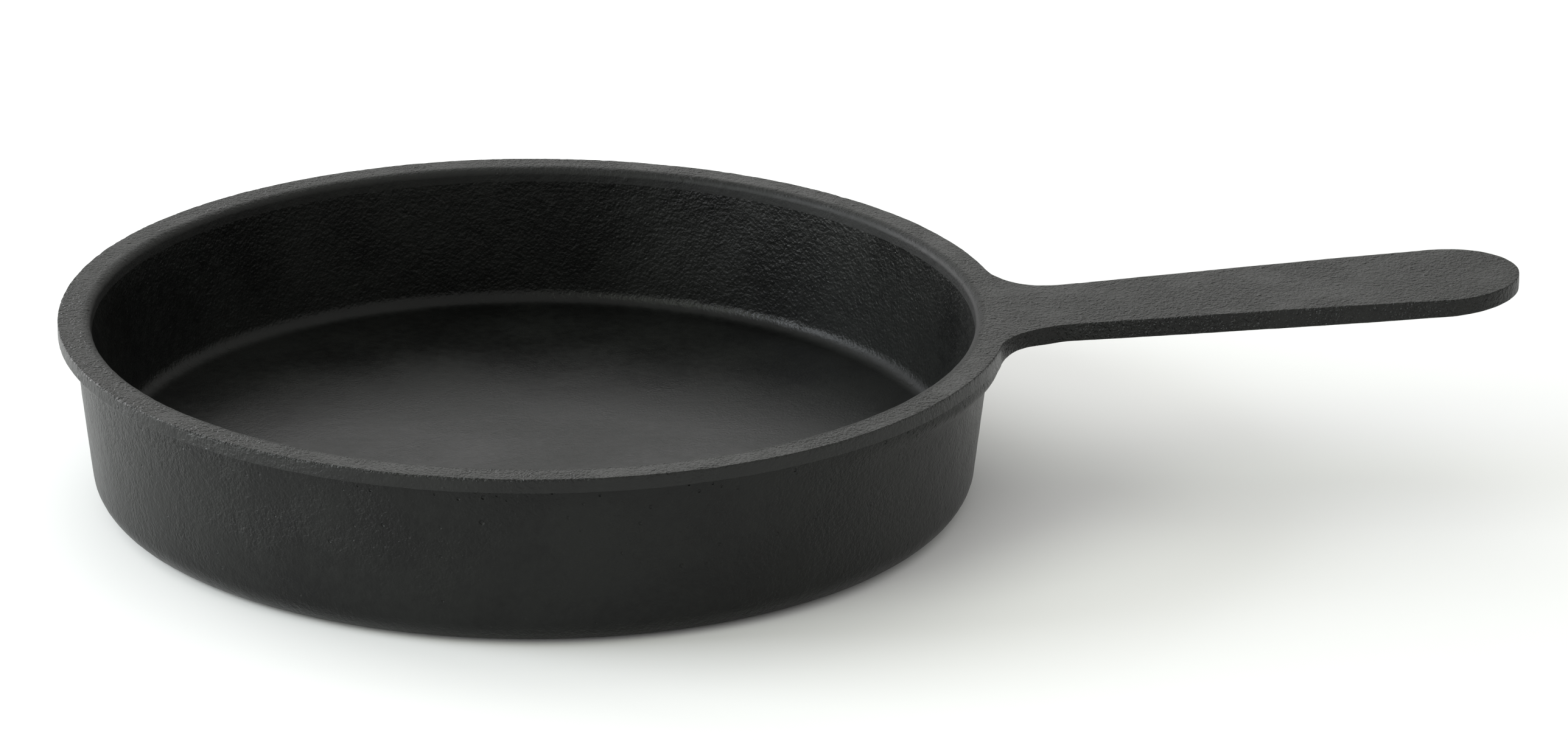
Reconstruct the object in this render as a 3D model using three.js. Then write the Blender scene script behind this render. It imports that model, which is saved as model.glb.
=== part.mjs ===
// A small cast iron skillet: a shallow round pan with a flat rim flange and a flat, round-ended handle.
// The real skillet is one iron casting. Its four regions, the floor, the side wall, the rim flange and the
// handle, are separate solids here that meet face to face, with nothing between them.
//
// Millimetres. +Z is up, +X runs out along the handle, and the origin is the middle of the base.
import * as THREE from "three";

// Driving dimensions of the pan
const rimRadius = 110.6;
const panHeight = 43;
const flangeThickness = 3.4;
const flangeOverhang = 3.7;
const wallThickness = 4.3;
const wallDraft = THREE.MathUtils.degToRad(6.3);
const baseCornerRadius = 7.3;
const floorThickness = 9.3;
const innerCornerRadius = 3.8;

// Driving dimensions of the handle, all seen from above except its thickness and its slope
const handleReach = 230.2;
const neckPosition = 126.5;
const neckHalfWidth = 14;
const endHalfWidth = 18;
const endRoundLength = 18.6;
const handleThickness = 4.4;
const bendPosition = 115.3;
const handleSlope = THREE.MathUtils.degToRad(4.5);

// Driving dimensions of the root of the neck. Above rootBottom the wall swells out to the rim's radius, and the
// handle's underside hangs rootDown lower at the rim, in a hollow that runs out over rootAcross. The swelling is
// whole as far as fadeStart round the pan on each side, and has faded into the wall at fadeEnd.
const rootBottom = 31;
const rootAcross = 16;
const rootDown = 1.5;
const fadeStart = THREE.MathUtils.degToRad(24);
const fadeEnd = THREE.MathUtils.degToRad(56);

// Facets: round the pan, along each rounded corner, and on the handle
const turnSegments = 128;
const cornerSteps = 6;
const rootSteps = 5;
const flareFacets = 5;
const rowsPerFacet = 2;
const flareColumns = 6;
const barColumns = 6;

// Sizes that follow from the driving dimensions
const flangeUnderside = panHeight - flangeThickness;
const wallTopRadius = rimRadius - flangeOverhang;
const facetAngle = (2 * Math.PI) / turnSegments;

// A point of a half section of the pan: distance from the axis, height
function point(radius, height) {
  return new THREE.Vector2(radius, height);
}

// Points along a circular arc of a half section, with both ends
function arc(centre, radius, startAngle, endAngle) {
  const points = [];
  for (let step = 0; step <= cornerSteps; step += 1) {
    const angle = THREE.MathUtils.lerp(startAngle, endAngle, step / cornerSteps);
    points.push(point(centre.x + radius * Math.cos(angle), centre.y + radius * Math.sin(angle)));
  }
  return points;
}

// The wall leans outwards as it rises. These are its outer and inner radius at a height.
function outerWallRadius(height) {
  return wallTopRadius - (flangeUnderside - height) * Math.tan(wallDraft);
}

function innerWallRadius(height) {
  return outerWallRadius(height) - wallThickness;
}

// Turns a half section, listed anticlockwise, round the pan's axis
function turned(profile) {
  const geometry = new THREE.LatheGeometry(profile, turnSegments);
  geometry.rotateX(Math.PI / 2);
  return geometry;
}

// The rounding between the floor and the inside of the wall, from the floor up
const innerCorner = arc(
  point(
    innerWallRadius(floorThickness + innerCornerRadius) - innerCornerRadius / Math.cos(wallDraft),
    floorThickness + innerCornerRadius,
  ),
  innerCornerRadius,
  -Math.PI / 2,
  -wallDraft,
);
const floorRadius = innerCorner[0].x;

// The floor is a flat disc that ends where the inner corner starts
function floorGeometry() {
  return turned([point(0, 0), point(floorRadius, 0), point(floorRadius, floorThickness), point(0, floorThickness)]);
}

// The wall's swelling below the neck is complete at this height
const rootTop = flangeUnderside - rootDown;

// How far the handle hangs below the flange's underside at a distance from the axis
function rootDrop(radius) {
  const reach = THREE.MathUtils.clamp((rimRadius + rootAcross - radius) / rootAcross, 0, 1);
  return rootDown * (1 - Math.sqrt(1 - reach * reach));
}

// The outside of the wall at a height and an angle from the handle, with the swelling
function wallRadius(height, angle) {
  const swelling = THREE.MathUtils.smoothstep(height, rootBottom, rootTop);
  const share = 1 - THREE.MathUtils.smoothstep(Math.abs(angle), fadeStart, fadeEnd);
  return THREE.MathUtils.lerp(outerWallRadius(height), rimRadius, share * swelling);
}

// Heights where the wall's outside has corners, from the swelling's start to the flange's underside
function rootHeights() {
  const heights = [];
  for (let step = 0; step <= rootSteps; step += 1) {
    heights.push(THREE.MathUtils.lerp(rootBottom, rootTop, step / rootSteps));
  }
  return [...heights, flangeUnderside];
}

// The wall region holds the outer part of the base, both rounded corners and the leaning wall
function wallGeometry() {
  const baseCorner = arc(
    point(outerWallRadius(baseCornerRadius) - baseCornerRadius / Math.cos(wallDraft), baseCornerRadius),
    baseCornerRadius,
    -Math.PI / 2,
    -wallDraft,
  );
  const profile = [
    point(floorRadius, 0),
    ...baseCorner,
    ...rootHeights().map((height) => point(outerWallRadius(height), height)),
    point(innerWallRadius(flangeUnderside), flangeUnderside),
    ...innerCorner.slice().reverse(),
    point(floorRadius, 0),
  ];
  const geometry = turned(profile);
  const corners = geometry.getAttribute("position");
  const firstRow = baseCorner.length + 1;
  for (let index = 0; index < corners.count; index += 1) {
    const row = (index % profile.length) - firstRow;
    if (row >= 0 && row <= rootSteps + 1) {
      const angle = Math.atan2(corners.getY(index), corners.getX(index));
      const radius = wallRadius(corners.getZ(index), angle);
      corners.setXY(index, radius * Math.cos(angle), radius * Math.sin(angle));
    }
  }
  geometry.computeVertexNormals();
  return geometry;
}

// The flange is a flat ring. Its inner lip is rounded, and the rounding runs out into the wall at the underside.
function flangeGeometry() {
  const lipRadius = flangeThickness / (1 - Math.sin(wallDraft));
  const lipCentre = point(
    innerWallRadius(flangeUnderside) + lipRadius * Math.cos(wallDraft),
    panHeight - lipRadius,
  );
  const lip = arc(lipCentre, lipRadius, Math.PI / 2, Math.PI - wallDraft);
  const profile = [
    lip[cornerSteps],
    point(rimRadius, flangeUnderside),
    point(rimRadius, panHeight),
    ...lip,
  ];
  return turned(profile);
}

// The handle's edge widens steadily from the neck to the start of the round end
const endCentre = handleReach - endRoundLength;
const edgeSlope = (endHalfWidth - neckHalfWidth) / (endCentre - neckPosition);

function halfWidth(x) {
  return neckHalfWidth + edgeSlope * (x - neckPosition);
}

// The hollow flare on each side of the neck touches the rim at flareAngle and runs out into the handle's edge
const flareAngle = flareFacets * facetAngle;
const edgeLength = Math.hypot(1, edgeSlope);
const flareRadius =
  (rimRadius * (Math.sin(flareAngle) - edgeSlope * Math.cos(flareAngle)) -
    neckHalfWidth + edgeSlope * neckPosition) /
  (edgeLength - Math.sin(flareAngle) + edgeSlope * Math.cos(flareAngle));
const flareCentre = point(
  (rimRadius + flareRadius) * Math.cos(flareAngle),
  (rimRadius + flareRadius) * Math.sin(flareAngle),
);
const flareEndAngle = -Math.PI / 2 + Math.atan(edgeSlope);

function flarePoint(share) {
  const angle = THREE.MathUtils.lerp(flareAngle - Math.PI, flareEndAngle, share);
  return point(flareCentre.x + flareRadius * Math.cos(angle), flareCentre.y + flareRadius * Math.sin(angle));
}

// A point of the rim's faceted outer edge, at a share of the flare from -1 to 1
function rimPoint(side) {
  const facet = Math.min(Math.floor(Math.abs(side) * flareFacets), flareFacets - 1);
  const along = Math.abs(side) * flareFacets - facet;
  const near = facet * facetAngle;
  const far = near + facetAngle;
  return point(
    rimRadius * THREE.MathUtils.lerp(Math.cos(near), Math.cos(far), along),
    rimRadius * THREE.MathUtils.lerp(Math.sin(near), Math.sin(far), along) * Math.sign(side),
  );
}

// Across the handle at one place along it
function straightPoint(x, side) {
  return point(x, side * halfWidth(x));
}

// The handle seen from above, as columns from the rim to the round end and rows from side -1 to side 1
function planPoint(column, side) {
  const flareEnd = flarePoint(1);
  if (column < flareColumns) {
    const share = column / flareColumns;
    const middle = rimPoint(side).lerp(straightPoint(flareEnd.x, side), share);
    const corner = rimPoint(1).lerp(straightPoint(flareEnd.x, 1), share);
    const pull = flarePoint(share).sub(corner);
    return point(middle.x + pull.x * side * side, middle.y + pull.y * side);
  }
  if (column <= flareColumns + barColumns) {
    const share = (column - flareColumns) / barColumns;
    return straightPoint(THREE.MathUtils.lerp(flareEnd.x, endCentre, share), side);
  }
  const angle = (side * Math.PI) / 2;
  return point(endCentre + endRoundLength * Math.cos(angle), endHalfWidth * Math.sin(angle));
}

// Height of the top face: level with the rim as far as the bend, then rising
function topHeight(x) {
  return panHeight + Math.max(0, x - bendPosition) * Math.tan(handleSlope);
}

// The handle starts as thick as the flange and has its full thickness from the bend on
function thickness(x) {
  return THREE.MathUtils.mapLinear(
    THREE.MathUtils.clamp(x, rimRadius, bendPosition),
    rimRadius,
    bendPosition,
    flangeThickness,
    handleThickness,
  );
}

// A block of columns and rows, with each corner moved to its place in the handle. Near the rim the underside hangs
// lower, in the hollow at the root of the neck.
function handleGeometry() {
  const columns = flareColumns + barColumns + 1;
  const rows = 2 * flareFacets * rowsPerFacet;
  const geometry = new THREE.BoxGeometry(columns, rows, 1, columns, rows, 1);
  const corners = geometry.getAttribute("position");
  for (let index = 0; index < corners.count; index += 1) {
    const column = Math.round(corners.getX(index) + columns / 2);
    const side = Math.round(corners.getY(index)) / (rows / 2);
    const place = planPoint(column, side);
    const drop = corners.getZ(index) > 0 ? 0 : thickness(place.x) + rootDrop(place.length());
    corners.setXYZ(index, place.x, place.y, topHeight(place.x) - drop);
  }
  geometry.computeVertexNormals();
  return geometry;
}

// One named mesh of the casting. Bare seasoned iron is dark, slightly warm grey and dull.
function region(name, geometry, colour, roughness) {
  const material = new THREE.MeshStandardMaterial({ color: colour, roughness, metalness: 0.6 });
  const mesh = new THREE.Mesh(geometry, material);
  mesh.name = name;
  return mesh;
}

const skillet = new THREE.Group();
skillet.add(region("pan_floor", floorGeometry(), 0x3a3b39, 0.45));
skillet.add(region("side_wall", wallGeometry(), 0x383937, 0.6));
skillet.add(region("rim_flange", flangeGeometry(), 0x4a4b49, 0.5));
skillet.add(region("handle", handleGeometry(), 0x4a4a48, 0.55));

export default skillet;
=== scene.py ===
"""The looks of a cast iron skillet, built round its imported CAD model. Metres, +Z up, +X along the handle.

The skillet is one casting. Its floor, wall, rim and handle are four closed pieces whose edges share their
points, so that no seam shows where one region runs into the next.
"""

import math

import bpy
import numpy as np
from mathutils import Matrix, Vector


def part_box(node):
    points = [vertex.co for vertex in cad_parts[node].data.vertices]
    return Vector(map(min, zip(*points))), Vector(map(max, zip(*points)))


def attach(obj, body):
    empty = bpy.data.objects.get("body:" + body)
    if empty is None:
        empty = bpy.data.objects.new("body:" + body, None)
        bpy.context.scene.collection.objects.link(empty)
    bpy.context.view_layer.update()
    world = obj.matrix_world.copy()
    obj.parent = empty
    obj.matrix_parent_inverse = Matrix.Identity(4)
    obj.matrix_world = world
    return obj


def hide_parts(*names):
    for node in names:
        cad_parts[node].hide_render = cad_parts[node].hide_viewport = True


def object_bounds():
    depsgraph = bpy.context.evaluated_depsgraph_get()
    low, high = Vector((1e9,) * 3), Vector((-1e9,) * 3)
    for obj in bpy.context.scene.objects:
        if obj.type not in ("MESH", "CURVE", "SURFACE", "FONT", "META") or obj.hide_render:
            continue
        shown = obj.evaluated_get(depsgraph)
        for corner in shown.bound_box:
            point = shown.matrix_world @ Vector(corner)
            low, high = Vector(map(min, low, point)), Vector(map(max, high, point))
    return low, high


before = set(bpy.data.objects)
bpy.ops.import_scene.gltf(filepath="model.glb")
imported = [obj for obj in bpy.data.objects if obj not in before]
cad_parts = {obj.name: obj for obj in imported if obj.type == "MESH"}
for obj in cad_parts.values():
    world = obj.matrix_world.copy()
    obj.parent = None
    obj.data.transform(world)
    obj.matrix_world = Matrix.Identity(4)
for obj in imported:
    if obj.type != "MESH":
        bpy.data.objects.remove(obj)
cad_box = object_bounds()

MM = 0.001

# Sizes read from the CAD model
RIM_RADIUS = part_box("rim_flange")[1].x
PAN_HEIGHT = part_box("rim_flange")[1].z
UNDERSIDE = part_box("rim_flange")[0].z
WALL_TOP_RADIUS = -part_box("side_wall")[0].x
FLOOR_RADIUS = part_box("pan_floor")[1].x
FLOOR_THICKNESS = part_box("pan_floor")[1].z
HANDLE_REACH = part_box("handle")[1].x
FLANGE_THICKNESS = PAN_HEIGHT - UNDERSIDE

# The casting's other sizes, as the CAD model has them
WALL_THICKNESS = 4.3 * MM
WALL_DRAFT = math.radians(6.3)
BASE_CORNER = 7.3 * MM
INNER_CORNER = 3.8 * MM
NECK_POSITION = 126.5 * MM
NECK_HALF_WIDTH = 14 * MM
END_HALF_WIDTH = 18 * MM
END_ROUND_LENGTH = 18.6 * MM
END_CENTRE = HANDLE_REACH - END_ROUND_LENGTH
HANDLE_THICKNESS = 4.4 * MM
BEND_POSITION = 115.3 * MM
HANDLE_SLOPE = math.tan(math.radians(4.5))

# The root of the neck, as the CAD model has it. The wall swells out to the rim between the bottom and the
# top. The handle's underside hangs lower at the rim and runs out over NECK_ROOT_ACROSS. The swelling fades
# away between the two angles, counted from the handle.
NECK_ROOT_BOTTOM = 31 * MM
NECK_ROOT_ACROSS = 16 * MM
NECK_ROOT_DOWN = 1.5 * MM
NECK_ROOT_TOP = UNDERSIDE - NECK_ROOT_DOWN
NECK_ROOT_FADE = (math.radians(24), math.radians(56))

# Fine shape that the CAD model leaves out or has simpler. Roundings: every outside edge, the corner where the
# wall meets the flange, and the rim's inner lip.
EDGE_ROUNDING = 0.3 * MM
FLANGE_ROOT = 0.8 * MM
LIP_RADIUS = 2 * MM

# The flange's underside is at least a LEDGE wide. Beside the neck, THINNEST_EDGE of its edge's rounding is
# left, which is reached at EDGE_RUNS_OUT times the neck's own angle.
LEDGE = 0.02 * MM
THINNEST_EDGE = 0.1
EDGE_RUNS_OUT = 1.3

# The handle bulges in the middle, thins towards its end and bends over a short length. WORN_EDGE is the share
# of its side that wears, at the top and again at the bottom.
HANDLE_SWELL = 0.2 * MM
HANDLE_TAPER = 0.4 * MM
BEND_LENGTH = BEND_POSITION - RIM_RADIUS
WORN_EDGE = 0.1

# Mesh density: columns round the pan, of which FLARE_COLUMNS lie on each side of the neck, and the steps of
# each run of points across them
TURN = 1024
FLARE_COLUMNS = 40
FLARE_ANGLE = 2 * math.pi * FLARE_COLUMNS / TURN
BASE_STEPS = 4
BASE_CORNER_STEPS = 11
INNER_CORNER_STEPS = 15
WALL_OUTSIDE_STEPS = 16
WALL_INSIDE_STEPS = 26
ROOT_STEPS = 21
EDGE_STEPS = 4
SIDE_STEPS = 5
LIP_STEPS = 12
RING_STEPS = 6
UNDERSIDE_STEPS = 4
UNDERSIDE_RINGS = (1.0, 0.9, 0.75, 0.55)
FLARE_STEPS = 26
BAR_STEPS = 140
ROUND_END_STEPS = 14


# ---------------------------------------------------------------- outlines

def arc(centre, radius, start, end, steps):
    """Points of a circular arc, both ends included."""
    angle = np.linspace(start, end, steps + 1)
    return np.stack([centre[0] + radius * np.cos(angle), centre[1] + radius * np.sin(angle)], 1)


def line(start, end, steps):
    """Evenly spaced points of a straight line, both ends included."""
    share = np.linspace(0, 1, steps + 1)[:, None]
    return np.asarray(start) * (1 - share) + np.asarray(end) * share


def joined(*runs):
    """Runs of points end to end, each shared end kept once."""
    return np.concatenate([run[:-1] for run in runs[:-1]] + [runs[-1]])


def smooth(value, low, high):
    """0 below low, 1 above high, and an even rise between them."""
    share = np.clip((value - low) / (high - low), 0, 1)
    return share * share * (3 - 2 * share)


def outer_wall_radius(height):
    return WALL_TOP_RADIUS - (UNDERSIDE - height) * math.tan(WALL_DRAFT)


def inner_wall_radius(height):
    return outer_wall_radius(height) - WALL_THICKNESS


# ---------------------------------------------------------------- closed shapes

class Shape:
    """A closed piece under construction: its points, its faces, and which faces lie inside the casting."""

    def __init__(self, name, slot, node):
        self.name, self.slot, self.node = name, slot, node
        self.points = []
        self.edges = []
        self.count = 0
        self.faces = []
        self.inside = []

    def add_points(self, points, edge=0):
        """Adds an array of points, and returns their numbers in the same arrangement. edge is 1 where they
        lie along an outside edge, which wears and chips."""
        flat = np.asarray(points, float).reshape(-1, 3)
        self.edges.append(np.broadcast_to(edge, np.shape(points)[:-1]).reshape(-1).astype(float))
        numbers = np.arange(self.count, self.count + len(flat)).reshape(np.shape(points)[:-1])
        self.points.append(flat)
        self.count += len(flat)
        return numbers

    def add_faces(self, faces, inside=False):
        self.faces.extend(faces)
        self.inside.extend([inside] * len(faces))

    def add_grid(self, numbers, inside=False):
        """Quads over a grid of point numbers, facing along (down the rows) x (along the columns)."""
        quads = np.stack([numbers[:-1, :-1], numbers[1:, :-1], numbers[1:, 1:], numbers[:-1, 1:]], -1)
        self.add_faces(quads.reshape(-1, 4).tolist(), inside)

    def finish(self):
        """Drops the points that no face uses."""
        points = np.concatenate(self.points)
        used = np.zeros(len(points), bool)
        used[np.concatenate(self.faces)] = True
        new_number = np.cumsum(used) - 1
        self.faces = [new_number[face].tolist() for face in self.faces]
        self.points = points[used]
        self.edges = np.concatenate(self.edges)[used]
        return self


def turned(profile):
    """A half section (distance from the axis, height) turned round the pan's axis, one row for each of its
    points. A point that changes on its way round has its own place in every column."""
    angle = 2 * math.pi * np.arange(TURN) / TURN
    places = np.broadcast_to(profile.reshape(len(profile), -1, 2), (len(profile), TURN, 2))
    radius, height = places.transpose(2, 0, 1)
    return np.stack([radius * np.cos(angle), radius * np.sin(angle), height], -1)


def all_round(profile):
    """A half section repeated for every column."""
    return np.repeat(profile[:, None], TURN, axis=1)


def wrapped(numbers):
    """A grid of point numbers with its first column again at the end."""
    return np.concatenate([numbers, numbers[:, :1]], 1)


def floor_shape():
    """A disc. Its top is a square net drawn out to a circle, so that its cells stay even in size. Its
    underside is flat, with rings of cells round one large face."""
    shape = Shape("cast_floor", "floor_iron", "pan_floor")
    along = np.linspace(-1, 1, TURN // 4 + 1)
    a, b = np.meshgrid(along, along, indexing="ij")
    wide = np.abs(a) >= np.abs(b)
    radius = FLOOR_RADIUS * np.where(wide, a, b)
    slant_a = math.pi / 4 * b / np.where(a == 0, 1, a)
    slant_b = math.pi / 2 - math.pi / 4 * a / np.where(b == 0, 1, b)
    angle = np.where(wide, slant_a, slant_b)
    net = np.stack([radius * np.cos(angle), radius * np.sin(angle), 0 * a + FLOOR_THICKNESS], -1)
    top = shape.add_points(net)
    shape.add_grid(top)
    edge = np.concatenate([top[-1, :-1], top[:0:-1, -1], top[0, :0:-1], top[:-1, 0]])
    edge_points = net.reshape(-1, 3)[edge]
    rings = [edge]
    for share in UNDERSIDE_RINGS:
        rings.append(shape.add_points(edge_points * [share, share, 0]))
    sides = wrapped(np.stack(rings))
    shape.add_grid(sides[:2], inside=True)
    shape.add_grid(sides[1:])
    shape.add_faces([rings[-1][::-1].tolist()])
    return shape.finish()


def inner_corner():
    """The rounding between the floor and the inside of the wall, from the floor up."""
    centre_height = FLOOR_THICKNESS + INNER_CORNER
    centre_radius = inner_wall_radius(centre_height) - INNER_CORNER / math.cos(WALL_DRAFT)
    centre = (centre_radius, centre_height)
    points = arc(centre, INNER_CORNER, -math.pi / 2, -WALL_DRAFT, INNER_CORNER_STEPS)
    points[0] = (FLOOR_RADIUS, FLOOR_THICKNESS)
    return points


def root_drop(radius):
    """How far the handle's underside hangs below the flange's at a distance from the axis: a hollow rounding
    that starts upright at the rim."""
    reach = np.clip((RIM_RADIUS + NECK_ROOT_ACROSS - radius) / NECK_ROOT_ACROSS, 0, 1)
    return NECK_ROOT_DOWN * (1 - np.sqrt(1 - reach ** 2))


def outside_radius(height, share, target):
    """The outside of the wall: leaning, with a share of the swelling that carries it out to a target radius
    below the neck, and a small rounding under the flange."""
    wall = outer_wall_radius(height)
    swelling = (target - wall) * smooth(height, NECK_ROOT_BOTTOM, NECK_ROOT_TOP)
    small_rise = np.clip((height - UNDERSIDE) / FLANGE_ROOT + 1, 0, 1)
    small = FLANGE_ROOT * (1 - np.sqrt(1 - small_rise ** 2))
    return wall + np.maximum(share * swelling, small)


def flange_root():
    """The wall's outside from the start of the neck's swelling to the flange, a row of points for each
    height. Then the height of its top, and the rounding of the flange's lower edge, in every column. Just
    outside the neck the wall reaches the rim's edge, and the flange's lower edge runs out."""
    turn = 2 * math.pi * np.arange(TURN) / TURN
    turn = np.minimum(turn, 2 * math.pi - turn)
    share = 1 - smooth(turn, *NECK_ROOT_FADE)
    top = NECK_ROOT_TOP + NECK_ROOT_DOWN * smooth(turn, FLARE_ANGLE, NECK_ROOT_FADE[0])
    past_neck = smooth(turn, FLARE_ANGLE, EDGE_RUNS_OUT * FLARE_ANGLE)
    target = RIM_RADIUS - EDGE_ROUNDING * (1 - (1 - THINNEST_EDGE) * past_neck)
    climb = np.sin(np.linspace(0, math.pi / 2, ROOT_STEPS + 1))[:, None]
    height = NECK_ROOT_BOTTOM + climb * (top - NECK_ROOT_BOTTOM)
    radius = np.minimum(outside_radius(height, share, target), target - LEDGE)
    rounding = np.clip(RIM_RADIUS - LEDGE - radius[-1], 0, EDGE_ROUNDING)
    return np.stack([radius, height], -1), top, rounding


def seam_inside():
    """The inside of the wall at the height of the flange's underside, where wall and rim meet."""
    return np.array([inner_wall_radius(UNDERSIDE), UNDERSIDE])


def wall_shape():
    """The base's edge, both rounded corners and the leaning wall, up to the flange's underside."""
    shape = Shape("cast_wall", "wall_iron", "side_wall")
    corner_radius = outer_wall_radius(BASE_CORNER) - BASE_CORNER / math.cos(WALL_DRAFT)
    centre = (corner_radius, BASE_CORNER)
    corner = arc(centre, BASE_CORNER, -math.pi / 2, -WALL_DRAFT, BASE_CORNER_STEPS)
    root = flange_root()[0]
    base = line((FLOOR_RADIUS, 0), corner[0], BASE_STEPS)
    share = np.linspace(0, 1, WALL_OUTSIDE_STEPS + 1)[:, None, None]
    rise = corner[-1] * (1 - share) + root[0] * share
    outside = joined(all_round(joined(base, corner)), rise, root)
    inner = inner_corner()[::-1]
    inside = all_round(joined(line(seam_inside(), inner[0], WALL_INSIDE_STEPS), inner))
    grid = wrapped(shape.add_points(turned(np.concatenate([outside, inside]))))
    top = len(outside)
    shape.add_grid(grid[:top].T)
    shape.add_grid(grid[top:].T)
    shape.add_grid(grid[top - 1:top + 1].T, inside=True)
    shape.add_grid(grid[[-1, 0]].T, inside=True)
    return shape.finish()


def edge_profile(outer, low, high):
    """The flange's outer edge: a rounding at the bottom, the upright side, and a rounding at the top."""
    inner = outer - EDGE_ROUNDING
    bottom = arc((inner, low + EDGE_ROUNDING), EDGE_ROUNDING, -math.pi / 2, 0, EDGE_STEPS)
    top = arc((inner, high - EDGE_ROUNDING), EDGE_ROUNDING, 0, math.pi / 2, EDGE_STEPS)
    return joined(bottom, line(bottom[-1], top[0], SIDE_STEPS), top)


def rim_shape():
    """The flat ring with its rounded inner lip. Where the neck runs on from it, its outer edge is left off,
    and a flat face inside the casting takes its place."""
    shape = Shape("cast_rim", "rim_iron", "rim_flange")
    lip_height = PAN_HEIGHT - LIP_RADIUS
    lip_centre = (inner_wall_radius(lip_height) + LIP_RADIUS / math.cos(WALL_DRAFT), lip_height)
    lip = arc(lip_centre, LIP_RADIUS, math.pi / 2, math.pi - WALL_DRAFT, LIP_STEPS)
    outline = edge_profile(RIM_RADIUS, 0, FLANGE_THICKNESS)
    root, low, rounding = flange_root()
    share = outline[:, 1:] / FLANGE_THICKNESS
    set_back = (RIM_RADIUS - outline[:, :1]) * np.where(share < 0.5, rounding / EDGE_ROUNDING, 1)
    edge = np.stack([RIM_RADIUS - set_back, low + share * (PAN_HEIGHT - low)], -1)
    share = np.linspace(0, 1, UNDERSIDE_STEPS + 1)[:, None, None]
    under = root[-1] * (1 - share) + edge[0] * share
    ring = line((RIM_RADIUS - EDGE_ROUNDING, PAN_HEIGHT), lip[0], RING_STEPS)
    upper = all_round(joined(ring, lip))
    net = turned(np.concatenate([all_round(seam_inside()[None]), joined(under, edge, upper)]))
    low = len(under)
    high = low + len(edge) - 1
    worn = np.zeros((len(net), 1))
    worn[high - EDGE_STEPS:high + 1] = 1
    rows = shape.add_points(net, worn)
    grid = wrapped(rows)
    shape.add_grid(grid[:2].T, inside=True)
    shape.add_grid(grid[1:low + 1].T)
    shape.add_grid(grid[high:].T)
    shape.add_grid(grid[[-1, 0]].T)
    edge_columns = np.arange(FLARE_COLUMNS, TURN - FLARE_COLUMNS + 1)
    shape.add_grid(rows[low:high + 1, edge_columns].T)
    neck_columns = np.arange(-FLARE_COLUMNS, FLARE_COLUMNS + 1)
    shape.add_grid(rows[[low, high]][:, neck_columns].T, inside=True)
    shape.add_faces([rows[low:high + 1, FLARE_COLUMNS].tolist()], inside=True)
    shape.add_faces([rows[low:high + 1, -FLARE_COLUMNS][::-1].tolist()], inside=True)
    return shape.finish()


# ---------------------------------------------------------------- the handle

def handle_outline():
    """One edge of the handle seen from above, out to the middle of the round end's quarter: its points, the
    directions into the metal, and the numbers of the flare's and the bar's last points. The flare leaves the
    rim, and runs into the straight edge."""
    slope = (END_HALF_WIDTH - NECK_HALF_WIDTH) / (END_CENTRE - NECK_POSITION)
    length = math.hypot(1, slope)
    rise, run = math.sin(FLARE_ANGLE), math.cos(FLARE_ANGLE)
    flare_radius = (RIM_RADIUS * (rise - slope * run) - NECK_HALF_WIDTH + slope * NECK_POSITION) / (
        length - rise + slope * run)
    flare_centre = (RIM_RADIUS + flare_radius) * np.array([run, rise])
    flare_end = -math.pi / 2 + math.atan(slope)
    flare = arc(flare_centre, flare_radius, FLARE_ANGLE - math.pi, flare_end, FLARE_STEPS)
    bar = line(flare[-1], (END_CENTRE, END_HALF_WIDTH), BAR_STEPS)
    turn = np.linspace(math.pi / 2, math.pi / 4, ROUND_END_STEPS + 1)
    quarter = round_end(turn)
    points = joined(flare, bar, quarter)
    bar_normals = np.tile([slope / length, -1 / length], (len(bar) - 2, 1))
    inward = np.concatenate([(flare - flare_centre) / flare_radius, bar_normals, round_end_inward(turn)])
    return points, inward, len(flare) - 1, len(flare) + len(bar) - 2


def round_end(turn):
    """Points of the round end at these angles from the handle's line."""
    return np.stack([END_CENTRE + END_ROUND_LENGTH * np.cos(turn), END_HALF_WIDTH * np.sin(turn)], 1)


def round_end_inward(turn):
    """Directions into the metal at those points."""
    outward = np.stack([np.cos(turn) / END_ROUND_LENGTH, np.sin(turn) / END_HALF_WIDTH], 1)
    return -outward / np.linalg.norm(outward, axis=1, keepdims=True)


def patch(start, end, low, high):
    """A net of points between four edges. start and end run across it, low and high run along it."""
    u = np.linspace(0, 1, len(low))[:, None, None]
    v = np.linspace(0, 1, len(start))[None, :, None]
    along = (1 - u) * start + u * end
    across = (1 - v) * low[:, None] + v * high[:, None]
    corners = (1 - u) * ((1 - v) * start[0] + v * start[-1]) + u * ((1 - v) * end[0] + v * end[-1])
    return along + across - corners


def top_height(plan):
    """The handle's top: level at the rim, bent up over a short length, then straight."""
    x = plan[..., :1]
    past = x - BEND_POSITION
    bend = np.clip(past + BEND_LENGTH, 0, 2 * BEND_LENGTH) ** 2 / (4 * BEND_LENGTH)
    return PAN_HEIGHT + HANDLE_SLOPE * (bend + np.maximum(past - BEND_LENGTH, 0)) + swell(x)


def bottom_height(plan):
    """The handle's underside. The handle starts as thick as the flange, soon has its full thickness, swells
    a little in the middle and thins towards the end. Near the rim its underside hangs lower, in the hollow
    below the neck."""
    x = plan[..., :1]
    root = root_drop(np.linalg.norm(plan, axis=-1, keepdims=True))
    extra = (HANDLE_THICKNESS - FLANGE_THICKNESS) * smooth(x, RIM_RADIUS, RIM_RADIUS + 2 * BEND_LENGTH)
    taper = HANDLE_TAPER * smooth(x, BEND_POSITION, HANDLE_REACH)
    return top_height(plan) - FLANGE_THICKNESS - extra + taper - 2 * swell(x) - root


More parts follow.
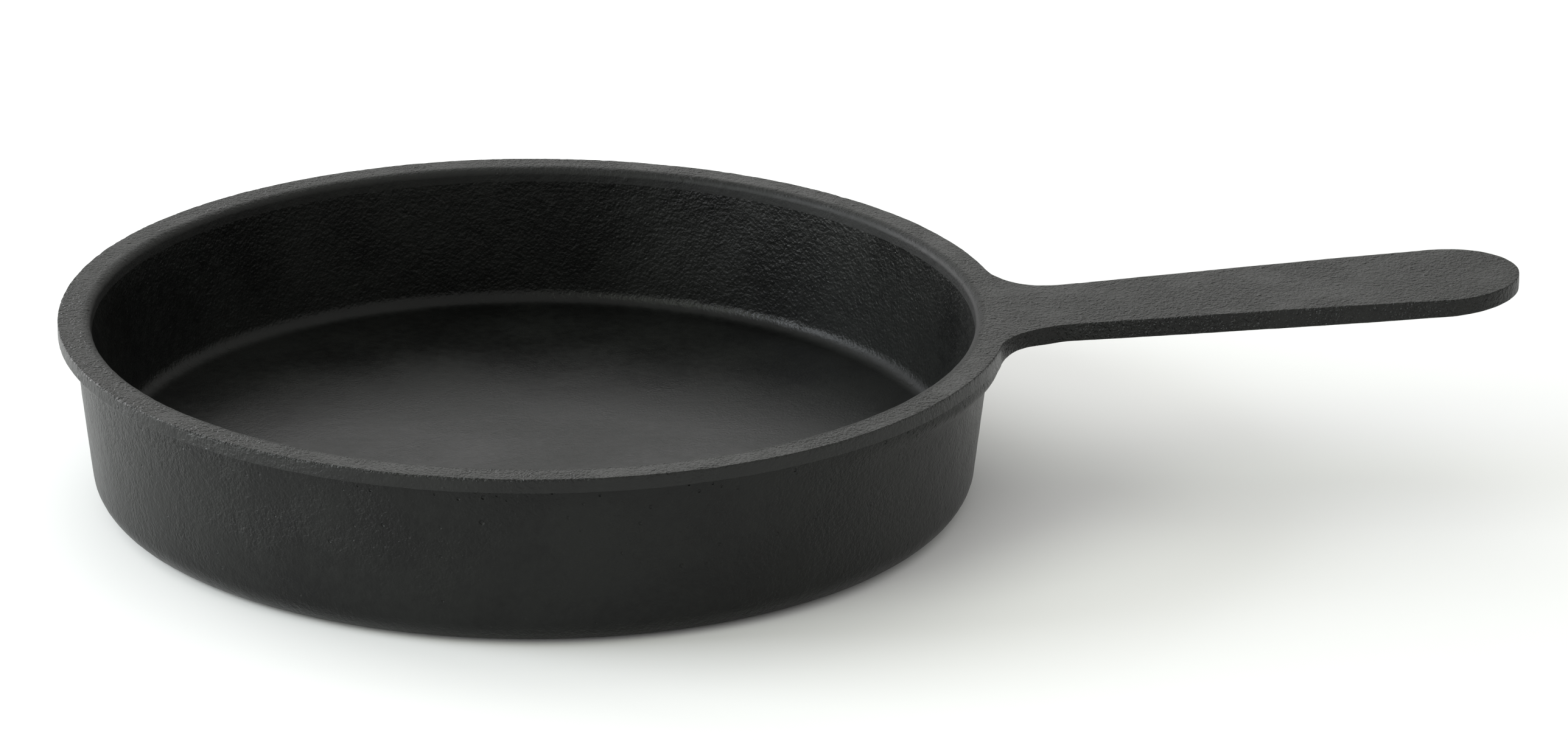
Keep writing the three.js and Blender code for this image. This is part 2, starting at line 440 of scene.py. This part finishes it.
def swell(x):
    """How far the handle bulges in the middle of its length, above and below."""
    share = np.clip((x - NECK_POSITION) / (HANDLE_REACH - NECK_POSITION), 0, 1)
    return HANDLE_SWELL * np.sin(math.pi * share)


def raised(plan, height):
    """Points of a plan (x, y) lifted to their heights."""
    return np.concatenate([plan, height(plan)], -1)


def handle_shape():
    """The flared neck, the widening bar and the round end."""
    shape = Shape("cast_handle", "handle_iron", "handle")
    mirror = np.array([1, -1])
    outline, inward, neck_end, bar_end = handle_outline()
    side = outline + EDGE_ROUNDING * inward
    across = np.linspace(-1, 1, 2 * FLARE_COLUMNS + 1)
    angle = across * FLARE_ANGLE
    seam = (RIM_RADIUS - EDGE_ROUNDING) * np.stack([np.cos(angle), np.sin(angle)], 1)
    turn = across * math.pi / 4
    end = round_end(turn) + EDGE_ROUNDING * round_end_inward(turn)
    neck_line = line(side[neck_end] * mirror, side[neck_end], 2 * FLARE_COLUMNS)
    bar_line = line(side[bar_end] * mirror, side[bar_end], 2 * FLARE_COLUMNS)
    last_point = len(side) - 1
    runs = [(seam, neck_line, 0, neck_end), (neck_line, bar_line, neck_end, bar_end)]
    runs.append((bar_line, end, bar_end, last_point))
    nets = []
    for start, finish, first, last in runs:
        stretch = side[first:last + 1]
        nets.append(patch(start, finish, stretch * mirror, stretch))
    plan = joined(*nets)
    top = shape.add_points(raised(plan, top_height))
    bottom = shape.add_points(raised(plan, bottom_height))
    shape.add_grid(top)
    shape.add_grid(bottom.T)
    add_handle_edge(shape, top, bottom, outline, inward, turn)
    shape.add_grid(np.stack([bottom[0], top[0]]), inside=True)
    return shape.finish()


def add_handle_edge(shape, top, bottom, outline, inward, turn):
    """The rounded, upright edge that runs round the handle from one side of the rim to the other."""
    mirror = np.array([1, -1])
    points = np.concatenate([outline * mirror, round_end(turn[1:-1]), outline[::-1]])
    into = np.concatenate([inward * mirror, round_end_inward(turn[1:-1]), inward[::-1]])

    def boundary(net):
        return np.concatenate([net[:, 0], net[-1, 1:-1], net[::-1, -1]])

    rows = [boundary(bottom)]
    for offset, height in edge_profile(0, 0, FLANGE_THICKNESS)[1:-1]:
        share = height / FLANGE_THICKNESS

        def level(plan, share=share):
            return bottom_height(plan) + share * (top_height(plan) - bottom_height(plan))
        near_edge = abs(2 * share - 1) > 1 - 2 * WORN_EDGE
        rows.append(shape.add_points(raised(points - offset * into, level), near_edge))
    rows.append(boundary(top))
    grid = np.stack(rows)
    shape.add_grid(grid.T)
    shape.add_faces([grid[:, 0].tolist(), grid[::-1, -1].tolist()], inside=True)


# ---------------------------------------------------------------- the cast surface

# The layers of the cast skin: the height of each, and the size of its patches. The whole skin lies a little
# below the ideal surface, so that it stays inside the CAD model's box.
WARP = (0.1 * MM, 60 * MM)
UNEVENNESS = (0.05 * MM, 11 * MM)
SKIN = (0.045 * MM, 2.6 * MM)
PEEL = (0.03 * MM, 2.2 * MM)
NICKS = (0.16 * MM, 1.7 * MM)
SET_IN = 0.06 * MM
FEWER_NICKS = 0.15
FLOOR_SMOOTHNESS = 0.7

# The noise that makes them: a table of random directions, the factors that spread its entries over the
# cells, and the factor that brings the sum to about -1 to 1
NOISE_TABLE = 4096
SPREAD = (73856093, 19349663, 83492791, 97531)
NOISE_GAIN = 1.6
directions = np.random.RandomState(11).normal(size=(NOISE_TABLE, 3))
directions /= np.linalg.norm(directions, axis=1, keepdims=True)


def noise(points, size, seed):
    """Smooth random values, about -1 to 1, one for each point, that change over about this size."""
    place = points / size
    cell = np.floor(place).astype(np.int64)
    inside = place - cell
    ease = inside ** 3 * (inside * (inside * 6 - 15) + 10)
    total = np.zeros(len(points))
    for corner in np.ndindex(2, 2, 2):
        step = np.array(corner)
        x, y, z = (cell + step).T
        entry = (x * SPREAD[0] ^ y * SPREAD[1] ^ z * SPREAD[2] ^ seed * SPREAD[3]) % NOISE_TABLE
        weight = np.prod(np.where(step == 1, ease, 1 - ease), axis=1)
        total += weight * np.sum(directions[entry] * (inside - step), axis=1)
    return NOISE_GAIN * total


def layer(points, kind, seed):
    """One layer of the skin: its height at each point."""
    height, size = kind
    return height * noise(points, size, seed)


def relief(points, edges):
    """How far the cast skin stands above its ideal surface at each point. The base stays flat, the floor is
    smoother than the rest, and the inside of the wall has a skin of its own."""
    radius = np.hypot(points[:, 0], points[:, 1])
    height = points[:, 2]
    above_base = smooth(height, 0, 3 * MM)
    wall = inner_wall_radius(height)
    inside = 1 - smooth(radius, wall + 0.5 * MM, wall + 2 * MM)
    on_wall = inside * smooth(height, FLOOR_THICKNESS + 1 * MM, FLOOR_THICKNESS + 4 * MM)
    low = 1 - smooth(height, FLOOR_THICKNESS, FLOOR_THICKNESS + 1 * MM)
    on_floor = low * (radius < FLOOR_RADIUS + 2 * MM)
    warp = layer(points, WARP, 1) - SET_IN
    rough = (layer(points, UNEVENNESS, 2) + layer(points, SKIN, 3)) * (1 - FLOOR_SMOOTHNESS * on_floor)
    peel = layer(points, PEEL, 4) * on_wall
    nicks = NICKS[0] * np.maximum(noise(points, NICKS[1], 5) - FEWER_NICKS, 0) * edges
    return (warp + rough + peel - nicks) * above_base


def face_normals(points, faces):
    """The area-weighted direction of each face."""
    normals = np.zeros((len(faces), 3))
    quads = np.array([len(face) == 4 for face in faces])
    corners = points[np.array([face for face in faces if len(face) == 4])]
    normals[quads] = np.cross(corners[:, 2] - corners[:, 0], corners[:, 3] - corners[:, 1])
    for number in np.flatnonzero(~quads):
        loop = points[faces[number]]
        normals[number] = np.cross(loop, np.roll(loop, -1, axis=0)).sum(0)
    return normals


def shared_normals(points, shapes, numbers):
    """The normal at every point of the whole casting, from the faces that show."""
    total = np.zeros((len(points), 3))
    for shape, own in zip(shapes, numbers):
        normals = face_normals(points[own], shape.faces)
        shown = ~np.array(shape.inside)
        sizes = np.array([len(face) for face in shape.faces]) * shown
        corner = own[np.concatenate([face for face, show in zip(shape.faces, shown) if show])]
        np.add.at(total, corner, np.repeat(normals[shown], sizes[shown], axis=0))
    length = np.linalg.norm(total, axis=1, keepdims=True)
    return total / np.maximum(length, 1e-20)


SAME_PLACE = 8


def cast(shapes):
    """Gives the shapes one continuous cast skin, with points and normals shared along their seams, and makes
    them Blender objects that replace their CAD nodes. Points that match to SAME_PLACE decimals of a metre are
    one."""
    everything = np.concatenate([shape.points for shape in shapes])
    _, first, group = np.unique(np.round(everything, SAME_PLACE), axis=0, return_index=True,
                                return_inverse=True)
    points = everything[first]
    group = group.reshape(-1)
    numbers = np.split(group, np.cumsum([len(shape.points) for shape in shapes])[:-1])
    edges = np.zeros(len(points))
    np.maximum.at(edges, group, np.concatenate([shape.edges for shape in shapes]))
    points = points + shared_normals(points, shapes, numbers) * relief(points, edges)[:, None]
    points = np.clip(points, cad_box[0], cad_box[1])
    normals = shared_normals(points, shapes, numbers)
    pieces = {}
    for shape, own in zip(shapes, numbers):
        mesh = bpy.data.meshes.new(shape.name)
        mesh.from_pydata(points[own], [], shape.faces)
        mesh.polygons.foreach_set("use_smooth", [True] * len(shape.faces))
        mesh.normals_split_custom_set_from_vertices(normals[own].tolist())
        piece = bpy.data.objects.new(shape.name, mesh)
        bpy.context.scene.collection.objects.link(piece)
        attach(piece, "root")
        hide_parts(shape.node)
        pieces[shape.name] = piece
    return pieces


# ---------------------------------------------------------------- materials

class Nodes:
    """Builds a node material whose coordinates are millimetres of the skillet."""

    def __init__(self, name):
        self.material = bpy.data.materials.new(name)
        self.material.use_nodes = True
        self.tree = self.material.node_tree
        self.shader = self.tree.nodes["Principled BSDF"]
        coordinates = self.tree.nodes.new("ShaderNodeTexCoord")
        self.place = self.vector("SCALE", coordinates.outputs["Object"])
        self.place.node.inputs["Scale"].default_value = 1 / MM
        split = self.tree.nodes.new("ShaderNodeSeparateXYZ")
        self.link(self.place, split.inputs["Vector"])
        self.height = split.outputs["Z"]
        across = self.vector("MULTIPLY", self.place)
        across.node.inputs[1].default_value = (1, 1, 0)
        length = self.tree.nodes.new("ShaderNodeVectorMath")
        length.operation = "LENGTH"
        self.link(across, length.inputs[0])
        self.radius = length.outputs["Value"]

    def link(self, value, socket):
        """Feeds a socket with a number or with another node's output."""
        if isinstance(value, bpy.types.NodeSocket):
            self.tree.links.new(value, socket)
        else:
            socket.default_value = value

    def vector(self, operation, value):
        """A vector operation on a value. Its second number or vector is set on the node afterwards."""
        node = self.tree.nodes.new("ShaderNodeVectorMath")
        node.operation = operation
        self.link(value, node.inputs[0])
        return node.outputs["Vector"]

    def math(self, operation, *values):
        node = self.tree.nodes.new("ShaderNodeMath")
        node.operation = operation
        for value, socket in zip(values, node.inputs):
            self.link(value, socket)
        return node.outputs["Value"]

    def total(self, *values):
        result = values[0]
        for value in values[1:]:
            result = self.math("ADD", result, value)
        return result

    def times(self, *values):
        result = values[0]
        for value in values[1:]:
            result = self.math("MULTIPLY", result, value)
        return result

    def ramp(self, value, low, high, start=0.0, end=1.0):
        """An even rise from start to end while the value goes from low to high."""
        node = self.tree.nodes.new("ShaderNodeMapRange")
        node.interpolation_type = "SMOOTHSTEP"
        settings = {"Value": value, "From Min": low, "From Max": high, "To Min": start, "To Max": end}
        for name, setting in settings.items():
            self.link(setting, node.inputs[name])
        return node.outputs["Result"]

    def noise(self, size, detail=2.0, seed=0.0):
        """Cloudy values from -0.5 to 0.5 whose patches are about this many millimetres."""
        node = self.tree.nodes.new("ShaderNodeTexNoise")
        node.noise_dimensions = "4D"
        self.link(self.place, node.inputs["Vector"])
        node.inputs["W"].default_value = seed
        node.inputs["Scale"].default_value = 1 / size
        node.inputs["Detail"].default_value = detail
        return self.math("SUBTRACT", node.outputs["Fac"], 0.5)

    def spots(self, spacing, size, share, seed):
        """Round spots, 1 in the middle and up to this size, scattered at this spacing, with this share of the
        places taken. The seed shifts them."""
        shifted = self.vector("ADD", self.place)
        shifted.node.inputs[1].default_value = (seed, 2 * seed, 3 * seed)
        node = self.tree.nodes.new("ShaderNodeTexVoronoi")
        self.link(shifted, node.inputs["Vector"])
        node.inputs["Scale"].default_value = 1 / spacing
        split = self.tree.nodes.new("ShaderNodeSeparateXYZ")
        self.link(node.outputs["Color"], split.inputs["Vector"])
        taken = self.math("LESS_THAN", split.outputs["X"], share)
        reach = self.ramp(split.outputs["Y"], 0, 1, 0.5 * size / spacing, size / spacing)
        spot = self.ramp(self.math("DIVIDE", node.outputs["Distance"], reach), 0.4, 1, 1.0, 0.0)
        return self.times(spot, taken)


# Seasoned iron: its roughness, how far that varies, and its darkest and lightest colour
ROUGHNESS = 0.38
SMOOTHER, ROUGHER = 0.05, 0.06
DARK_IRON = (0.002, 0.0022, 0.002, 1)
LIGHT_IRON = (0.0066, 0.0072, 0.0064, 1)

# Sizes in millimetres: the patches and the speckles of colour, the patches where the skin is stronger or
# weaker, its lumps and its grain
COLOUR_PATCH = 26
COLOUR_SPECKLE = 2.2
PATCH_SIZE = 17
LUMP_SIZE = 1.1
GRAIN_SIZE = 0.5

# Small and large holes, pimples, and the holes just below the flange: spacing, size, share of places, seed
SMALL_HOLES = (3.1, 0.6, 0.3, 0)
LARGE_HOLES = (9.0, 1.0, 0.3, 5)
PIMPLES = (2.6, 0.75, 0.4, 11)
FLANGE_HOLES = (1.7, 0.55, 0.4, 21)


def cast_iron(name, lumps, grain, pits, pimples, smoothing=None, extra=None, dulling=None, index=1.3):
    """Dull, nearly black iron. lumps, grain, pits and pimples are the heights, in millimetres, of its
    sand-cast skin. smoothing scales them, extra adds to them and dulling adds to the roughness from place to
    place. index is the index of refraction, which sets how much light the skin reflects."""
    nodes = Nodes(name)
    relief_height = sand_cast_skin(nodes, lumps, grain, pits, pimples, smoothing)
    if extra:
        relief_height = nodes.total(relief_height, extra(nodes))
    bump = nodes.tree.nodes.new("ShaderNodeBump")
    bump.inputs["Strength"].default_value = 1
    bump.inputs["Distance"].default_value = MM
    nodes.link(relief_height, bump.inputs["Height"])
    nodes.link(bump.outputs["Normal"], nodes.shader.inputs["Normal"])
    speckles = nodes.noise(COLOUR_SPECKLE, 2, 6)
    patches = nodes.total(nodes.noise(COLOUR_PATCH, 3, 4), nodes.times(speckles, 0.5))
    mix = nodes.tree.nodes.new("ShaderNodeMix")
    mix.data_type = "RGBA"
    nodes.link(nodes.ramp(patches, -0.25, 0.25), mix.inputs["Factor"])
    mix.inputs["A"].default_value = DARK_IRON
    mix.inputs["B"].default_value = LIGHT_IRON
    nodes.link(mix.outputs["Result"], nodes.shader.inputs["Base Color"])
    roughness = nodes.ramp(patches, -0.3, 0.3, ROUGHNESS - SMOOTHER, ROUGHNESS + ROUGHER)
    if dulling:
        roughness = nodes.total(roughness, dulling(nodes))
    nodes.link(roughness, nodes.shader.inputs["Roughness"])
    nodes.shader.inputs["IOR"].default_value = index
    return nodes.material


def sand_cast_skin(nodes, lumps, grain, pits, pimples, smoothing):
    """The height in millimetres of the lumps, the grain, the holes and the pimples together."""
    cover = nodes.ramp(nodes.noise(PATCH_SIZE, 2, 1), -0.12, 0.12, 0.55, 1.25)
    if smoothing:
        cover = nodes.times(cover, smoothing(nodes))
    lump = nodes.times(nodes.noise(LUMP_SIZE, 1, 2), lumps)
    fine = nodes.times(nodes.noise(GRAIN_SIZE, 1, 3), grain)
    hole = nodes.math("MAXIMUM", nodes.spots(*SMALL_HOLES), nodes.spots(*LARGE_HOLES))
    pimple = nodes.spots(*PIMPLES)
    spotted = nodes.total(nodes.times(hole, -pits), nodes.times(pimple, pimples))
    return nodes.times(nodes.total(lump, fine, spotted), cover)


def inside_wall(nodes):
    """1 on the wall's inside, 0 on its outside and at the base."""
    leaning = nodes.math("SUBTRACT", nodes.radius, nodes.times(nodes.height, math.tan(WALL_DRAFT)))
    middle = (outer_wall_radius(0) - WALL_THICKNESS / 2) / MM
    inner = nodes.ramp(leaning, middle - 0.5, middle + 0.5, 1.0, 0.0)
    above = nodes.ramp(nodes.height, FLOOR_THICKNESS / MM - 1, FLOOR_THICKNESS / MM)
    return nodes.times(inner, above)


def smooth_lip(nodes):
    """The rim's rounded inner lip and its upright side are smoother than its flat top. Distances are in
    millimetres."""
    lip = nodes.ramp(nodes.radius, 103.8, 105.2, 0.4, 1.0)
    side = nodes.ramp(nodes.height, PAN_HEIGHT / MM - 0.9, PAN_HEIGHT / MM - 0.35, 0.3, 1.0)
    return nodes.times(lip, side)


def lip_dulling(nodes):
    """The rounded inner lip is duller than the flat top."""
    return nodes.ramp(nodes.radius, 104.2, 105.6, 0.2, 0.0)


def wall_smoothing(nodes):
    """The outside of the wall is coarser high up, and the inside has a skin of its own."""
    outside = nodes.math("SUBTRACT", 1, nodes.times(inside_wall(nodes), 0.8))
    return nodes.times(nodes.ramp(nodes.height, 4, 30, 0.55, 1.0), outside)


def wall_peel(nodes):
    """The inside of the wall has an orange-peel skin. The outside has small holes just below the flange."""
    inside = inside_wall(nodes)
    peel = nodes.times(nodes.noise(0.75, 1, 7), 0.21, nodes.ramp(nodes.height, 9.5, 12), inside)
    band = nodes.ramp(nodes.height, UNDERSIDE / MM - 6, UNDERSIDE / MM - 2)
    outside = nodes.math("SUBTRACT", 1, inside)
    return nodes.total(peel, nodes.times(nodes.spots(*FLANGE_HOLES), -0.35, band, outside))


def give_finishes(pieces):
    """Every piece gets an iron of its own."""
    finishes = {
        "cast_floor": cast_iron("floor_iron", 0.03, 0.05, 0, 0, index=1.285),
        "cast_wall": cast_iron("wall_iron", 0.3, 0.22, 0.3, 0.1, smoothing=wall_smoothing, extra=wall_peel),
        "cast_rim": cast_iron("rim_iron", 0.7, 0.55, 0.45, 0.4, smoothing=smooth_lip, dulling=lip_dulling,
                              index=1.37),
        "cast_handle": cast_iron("handle_iron", 0.75, 0.62, 0.55, 0.5, index=1.35),
    }
    for name, finish in finishes.items():
        pieces[name].data.materials.append(finish)


def plain(name, colour, roughness):
    """A matt material of one colour, for the studio's floor."""
    nodes = Nodes(name)
    nodes.shader.inputs["Base Color"].default_value = (*colour, 1)
    nodes.shader.inputs["Roughness"].default_value = roughness
    nodes.shader.inputs["Specular IOR Level"].default_value = 0
    return nodes.material


# ---------------------------------------------------------------- the studio

# The softboxes: heading round the pan from the handle and angle above the floor, in degrees, then distance,
# width and height in metres, power in watts, and colour
SOFTBOXES = {
    "left_low": (180, 7, 1.5, 0.8, 0.36, 6, (0.97, 1, 0.96)),
    "left_high": (180, 26, 1.5, 0.8, 0.55, 13, (0.89, 0.94, 1)),
    "back_left_low": (137, 7, 1.5, 0.8, 0.36, 7, (1, 0.98, 0.99)),
    "back_left_high": (137, 28, 1.5, 0.8, 0.55, 2.8, (0.92, 0.94, 1)),
    "front_left_low": (215, 8, 1.5, 0.7, 0.4, 4, (0.95, 0.95, 1)),
    "front_left": (222, 34, 1.5, 0.7, 0.7, 4, (0.9, 1, 0.82)),
    "top_back": (90, 60, 1.5, 0.9, 0.9, 1.5, (0.93, 1, 0.88)),
    "back": (90, 32, 1.5, 0.8, 0.6, 2.1, (1, 1, 1)),
}


def make_lights():
    """Softboxes that face the middle of the pan."""
    for name, (heading, rise, distance, width, height, power, colour) in SOFTBOXES.items():
        light = bpy.data.lights.new(name, "AREA")
        light.shape = "RECTANGLE"
        light.size = width
        light.size_y = height
        light.energy = power
        light.color = colour
        lamp = bpy.data.objects.new(name, light)
        heading, rise = math.radians(heading), math.radians(rise)
        level = math.cos(rise)
        aim = Vector((math.cos(heading) * level, math.sin(heading) * level, math.sin(rise)))
        lamp.location = distance * aim + Vector((0, 0, PAN_HEIGHT / 2))
        lamp.rotation_euler = aim.to_track_quat("Z", "Y").to_euler()
        lamp.visible_camera = False
        bpy.context.scene.collection.objects.link(lamp)


def make_world():
    """An even, slightly warm white all round."""
    world = bpy.data.worlds.new("studio")
    world.use_nodes = True
    background = world.node_tree.nodes["Background"]
    background.inputs["Color"].default_value = (1, 1, 0.97, 1)
    background.inputs["Strength"].default_value = 0.77
    bpy.context.scene.world = world
    bpy.context.scene.view_settings.view_transform = "Standard"


# The camera: where it stands, its heading, how far it looks down, how far it is turned about its own line of
# sight, and its lens and sensor in millimetres
CAMERA_PLACE = (-0.0089, -1.5292, 0.5910)
CAMERA_HEADING = math.radians(-2.52)
CAMERA_PITCH = math.radians(20.21)
CAMERA_ROLL = math.radians(0.64)
CAMERA_LENS = 160
CAMERA_SENSOR = 36
FARTHEST_SEEN = 50


def make_camera():
    """The camera stands in front of the pan, looking down on it from a little to the left of its middle."""
    camera = bpy.data.cameras.new("camera")
    camera.lens = CAMERA_LENS
    camera.sensor_width = CAMERA_SENSOR
    camera.clip_end = FARTHEST_SEEN
    viewer = bpy.data.objects.new("camera", camera)
    upright = Matrix.Rotation(CAMERA_HEADING, 4, "Z") @ Matrix.Rotation(math.pi / 2 - CAMERA_PITCH, 4, "X")
    turn = upright @ Matrix.Rotation(CAMERA_ROLL, 4, "Z")
    viewer.matrix_world = Matrix.Translation(CAMERA_PLACE) @ turn
    bpy.context.scene.collection.objects.link(viewer)
    bpy.context.scene.camera = viewer


STUDIO_HALF_WIDTH = 4
FLOOR_GAP = 0.1 * MM


def make_floor():
    """A wide, pale, matt floor, just below the pan so that the two faces don't flicker."""
    mesh = bpy.data.meshes.new("studio_floor")
    half = STUDIO_HALF_WIDTH
    corners = [(-half, -half, 0), (half, -half, 0), (half, half, 0), (-half, half, 0)]
    mesh.from_pydata(corners, [], [(0, 1, 2, 3)])
    floor = bpy.data.objects.new("studio_floor", mesh)
    floor.location.z = -FLOOR_GAP
    floor.data.materials.append(plain("studio_floor", (0.92, 0.92, 0.92), 0.9))
    bpy.context.scene.collection.objects.link(floor)


make_camera()
give_finishes(cast([floor_shape(), wall_shape(), rim_shape(), handle_shape()]))
make_floor()
make_lights()
make_world()
